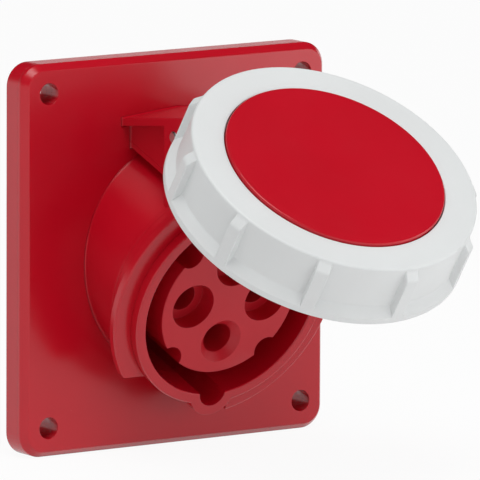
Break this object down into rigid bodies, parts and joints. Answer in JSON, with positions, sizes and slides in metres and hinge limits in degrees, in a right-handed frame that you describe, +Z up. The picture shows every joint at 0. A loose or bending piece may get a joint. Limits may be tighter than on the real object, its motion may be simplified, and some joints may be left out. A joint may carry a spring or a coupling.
{
  "type": "industrial panel socket",
  "caption": "Angled panel socket with a square flange, a round collar that leans downwards, sleeve contacts and a hinged lid that a turning bayonet ring locks.",
  "frame": {"origin": "centre of the four flange holes, on the flange's rear plane", "axes": "+Y points back through the panel, the collar looks along -Y and leans 20 degrees down, +Z is up and +X is to the right as seen from the front"},
  "size_m": [0.092, 0.1429, 0.101],
  "materials": {
    "red_plastic": "smooth moulded, satin gloss",
    "insert_red_plastic": "moulded, satin",
    "ring_grey_plastic": "fine spark-eroded mould texture",
    "base_grey_plastic": "moulded, matt",
    "seal_rubber": "moulded rubber",
    "contact_metal": "turned, bright",
    "spring_steel": "polished strip",
    "clamp_steel": "zinc plated",
    "screw_steel": "zinc plated",
    "pin_steel": "drawn, satin"
  },
  "bodies": {
    "root": {"flange_plate": "red_plastic", "flange_wall": "red_plastic", "flange_frame": "red_plastic", "groove_wall_in": "red_plastic", "groove_wall_out": "red_plastic", "rear_skirt": "red_plastic", "socket_body": "red_plastic", "socket_collar": "red_plastic", "bayonet_lugs": "red_plastic", "hinge_bracket": "red_plastic", "flange_gasket": "seal_rubber", "carrier_l1": "insert_red_plastic", "carrier_l2": "insert_red_plastic", "carrier_l3": "insert_red_plastic", "carrier_earth": "insert_red_plastic", "carrier_plate_l1": "insert_red_plastic", "carrier_plate_l2": "insert_red_plastic", "carrier_plate_l3": "insert_red_plastic", "carrier_plate_earth": "insert_red_plastic", "base_l1": "base_grey_plastic", "base_l2": "base_grey_plastic", "base_l3": "base_grey_plastic", "base_earth": "base_grey_plastic", "base_plate": "base_grey_plastic", "contact_l1": "contact_metal", "spring_ring_l1": "spring_steel", "terminal_cage_l1": "clamp_steel", "contact_l2": "contact_metal", "spring_ring_l2": "spring_steel", "terminal_cage_l2": "clamp_steel", "contact_l3": "contact_metal", "spring_ring_l3": "spring_steel", "terminal_cage_l3": "clamp_steel", "contact_earth": "contact_metal", "spring_ring_earth": "spring_steel", "terminal_cage_earth": "clamp_steel", "terminal_screws": "screw_steel", "insert_screws": "screw_steel", "hinge_pin": "pin_steel"},
    "lid": {"lid_cover": "red_plastic", "lid_spigot": "red_plastic", "lid_arm": "red_plastic", "lid_gasket": "seal_rubber"},
    "ring": {"ring_face": "ring_grey_plastic", "ring_wall_left": "ring_grey_plastic", "ring_wall_right": "ring_grey_plastic", "ring_lip": "ring_grey_plastic"}
  },
  "joints": [
    {"name": "lid_hinge", "type": "hinge", "parent": "root", "child": "lid", "pos_m": [0, -0.0313, 0.0327], "axis": [-1, 0, 0], "range_deg": [-74.9, 35]},
    {"name": "ring_turn", "type": "hinge", "parent": "lid", "child": "ring", "pos_m": [0, -0.06431, 0.00949], "axis": [0, 0.575, -0.8181], "range_deg": [0, 35]}
  ]
}
